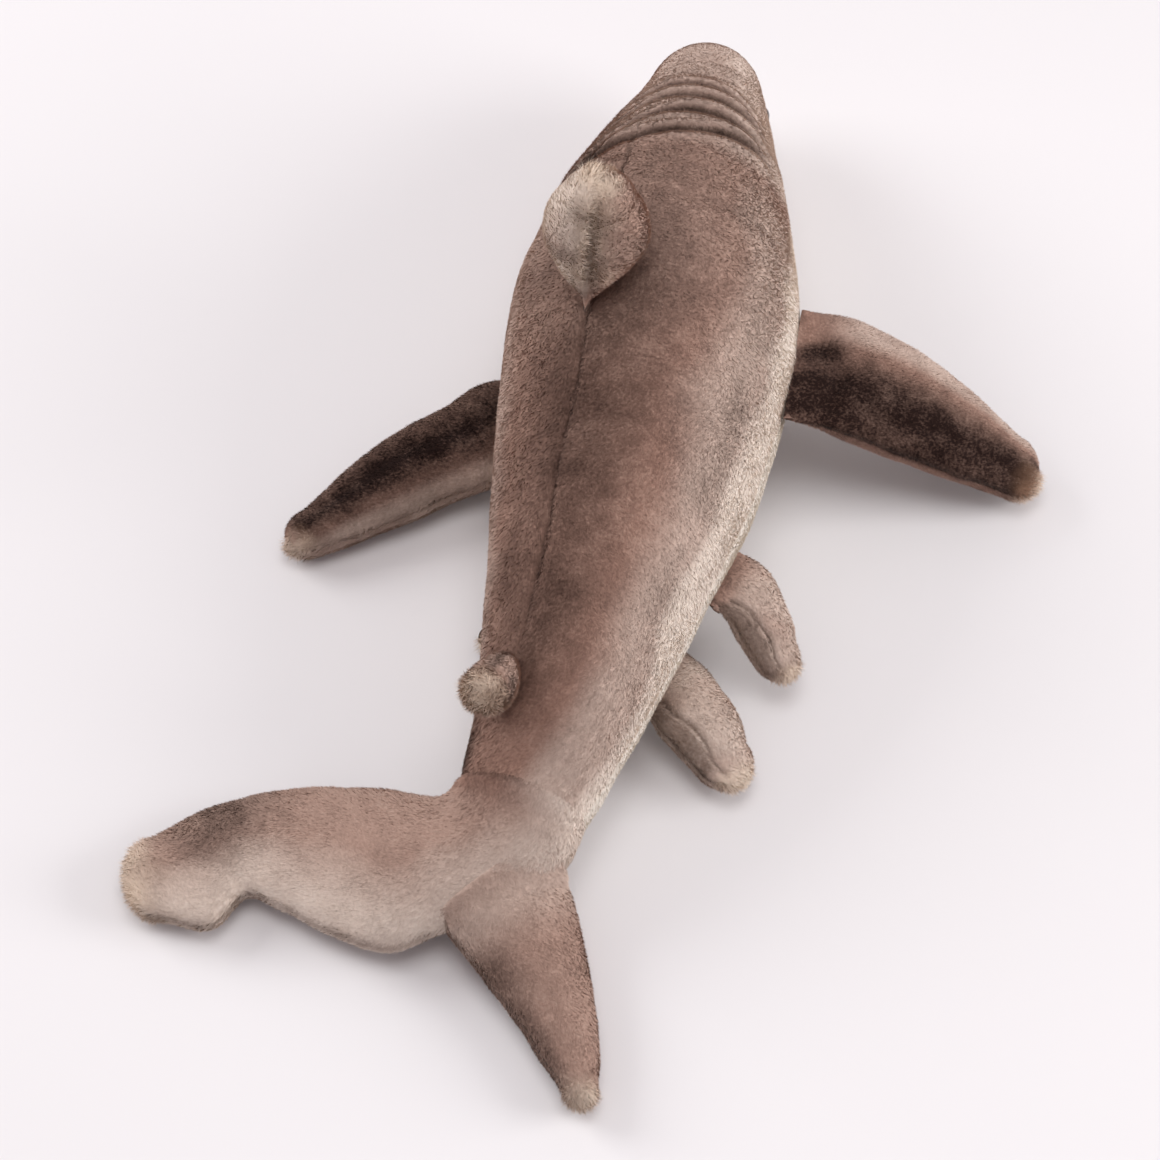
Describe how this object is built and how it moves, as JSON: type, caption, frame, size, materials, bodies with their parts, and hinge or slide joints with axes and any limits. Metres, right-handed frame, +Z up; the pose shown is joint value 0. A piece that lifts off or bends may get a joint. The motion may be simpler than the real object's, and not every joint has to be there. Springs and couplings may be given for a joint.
{
  "type": "plush shark",
  "caption": "Stuffed plush great white shark lying on its belly, with padded fins and a two-lobed tail that bend at their sewn roots.",
  "frame": {"origin": "middle of the flat patch that the belly rests on, on the floor", "axes": "+Z up, +Y along the trunk to the snout, +X to the shark's right side"},
  "size_m": [0.3884, 0.5991, 0.2026],
  "materials": {
    "brown_plush": "short brushed pile, taupe brown with darker and lighter strokes",
    "cream_plush": "short brushed pile, cream",
    "fibre_fill": "loose white polyester fibre",
    "eye_plastic": "polished black",
    "washer_plastic": "moulded off-white",
    "mouth_felt": "matt dusky red felt",
    "tooth_felt": "matt white felt"
  },
  "bodies": {
    "trunk": {"right_back_panel": "brown_plush", "left_back_panel": "brown_plush", "belly_panel": "cream_plush", "trunk_filling": "fibre_fill", "mouth_lining": "mouth_felt", "teeth": "tooth_felt", "left_eye": "eye_plastic", "left_eye_washer": "washer_plastic", "right_eye": "eye_plastic", "right_eye_washer": "washer_plastic"},
    "dorsal_fin": {"dorsal_fin_left_panel": "brown_plush", "dorsal_fin_right_panel": "brown_plush", "dorsal_fin_filling": "fibre_fill"},
    "second_dorsal_fin": {"second_dorsal_fin_left_panel": "brown_plush", "second_dorsal_fin_right_panel": "brown_plush", "second_dorsal_fin_filling": "fibre_fill"},
    "left_pectoral": {"left_pectoral_under_panel": "brown_plush", "left_pectoral_top_panel": "brown_plush", "left_pectoral_filling": "fibre_fill"},
    "right_pectoral": {"right_pectoral_top_panel": "brown_plush", "right_pectoral_under_panel": "brown_plush", "right_pectoral_filling": "fibre_fill"},
    "left_pelvic": {"left_pelvic_under_panel": "brown_plush", "left_pelvic_top_panel": "brown_plush", "left_pelvic_filling": "fibre_fill"},
    "right_pelvic": {"right_pelvic_top_panel": "brown_plush", "right_pelvic_under_panel": "brown_plush", "right_pelvic_filling": "fibre_fill"},
    "anal_fin": {"anal_fin_top_panel": "brown_plush", "anal_fin_under_panel": "brown_plush", "anal_fin_filling": "fibre_fill"},
    "tail": {"upper_lobe_top_panel": "brown_plush", "upper_lobe_under_panel": "brown_plush", "upper_lobe_filling": "fibre_fill", "lower_lobe_top_panel": "brown_plush", "lower_lobe_under_panel": "brown_plush", "lower_lobe_filling": "fibre_fill"}
  },
  "joints": [
    {"name": "dorsal_sway", "type": "hinge", "parent": "trunk", "child": "dorsal_fin", "pos_m": [-0.02774, 0.01186, 0.13235], "axis": [-0.013, 0.9999, 0.0019], "range_deg": [-12, 12], "stiffness_Nm_per_rad": 0.6},
    {"name": "second_dorsal_sway", "type": "hinge", "parent": "trunk", "child": "second_dorsal_fin", "pos_m": [-0.03362, -0.1962, 0.08072], "axis": [0.1535, 0.878, 0.4533], "range_deg": [-12, 12], "stiffness_Nm_per_rad": 0.2},
    {"name": "left_pectoral_flap", "type": "hinge", "parent": "trunk", "child": "left_pectoral", "pos_m": [-0.05906, -0.00551, 0.02201], "axis": [-0.123, 0.9921, 0.0266], "range_deg": [-20, 12], "stiffness_Nm_per_rad": 1},
    {"name": "right_pectoral_flap", "type": "hinge", "parent": "trunk", "child": "right_pectoral", "pos_m": [0.07428, 0.01393, 0.07281], "axis": [-0.0084, 0.9992, -0.0397], "range_deg": [-25, 12], "stiffness_Nm_per_rad": 1},
    {"name": "left_pelvic_flap", "type": "hinge", "parent": "trunk", "child": "left_pelvic", "pos_m": [-0.02263, -0.09597, 0.01041], "axis": [-0.0426, 0.994, -0.1009], "range_deg": [-15, 4], "stiffness_Nm_per_rad": 0.4},
    {"name": "right_pelvic_flap", "type": "hinge", "parent": "trunk", "child": "right_pelvic", "pos_m": [0.0569, -0.09994, 0.04447], "axis": [0.1903, 0.9811, -0.0338], "range_deg": [-20, 12], "stiffness_Nm_per_rad": 0.4},
    {"name": "anal_fin_sway", "type": "hinge", "parent": "trunk", "child": "anal_fin", "pos_m": [0.02943, -0.14526, 0.02103], "axis": [0.1534, 0.9876, -0.0325], "range_deg": [-12, 12], "stiffness_Nm_per_rad": 0.5},
    {"name": "tail_bend", "type": "hinge", "parent": "trunk", "child": "tail", "pos_m": [-0.018, -0.235, 0.04], "axis": [0.9803, -0.1974, 0], "range_deg": [-24, 12], "stiffness_Nm_per_rad": 2}
  ]
}
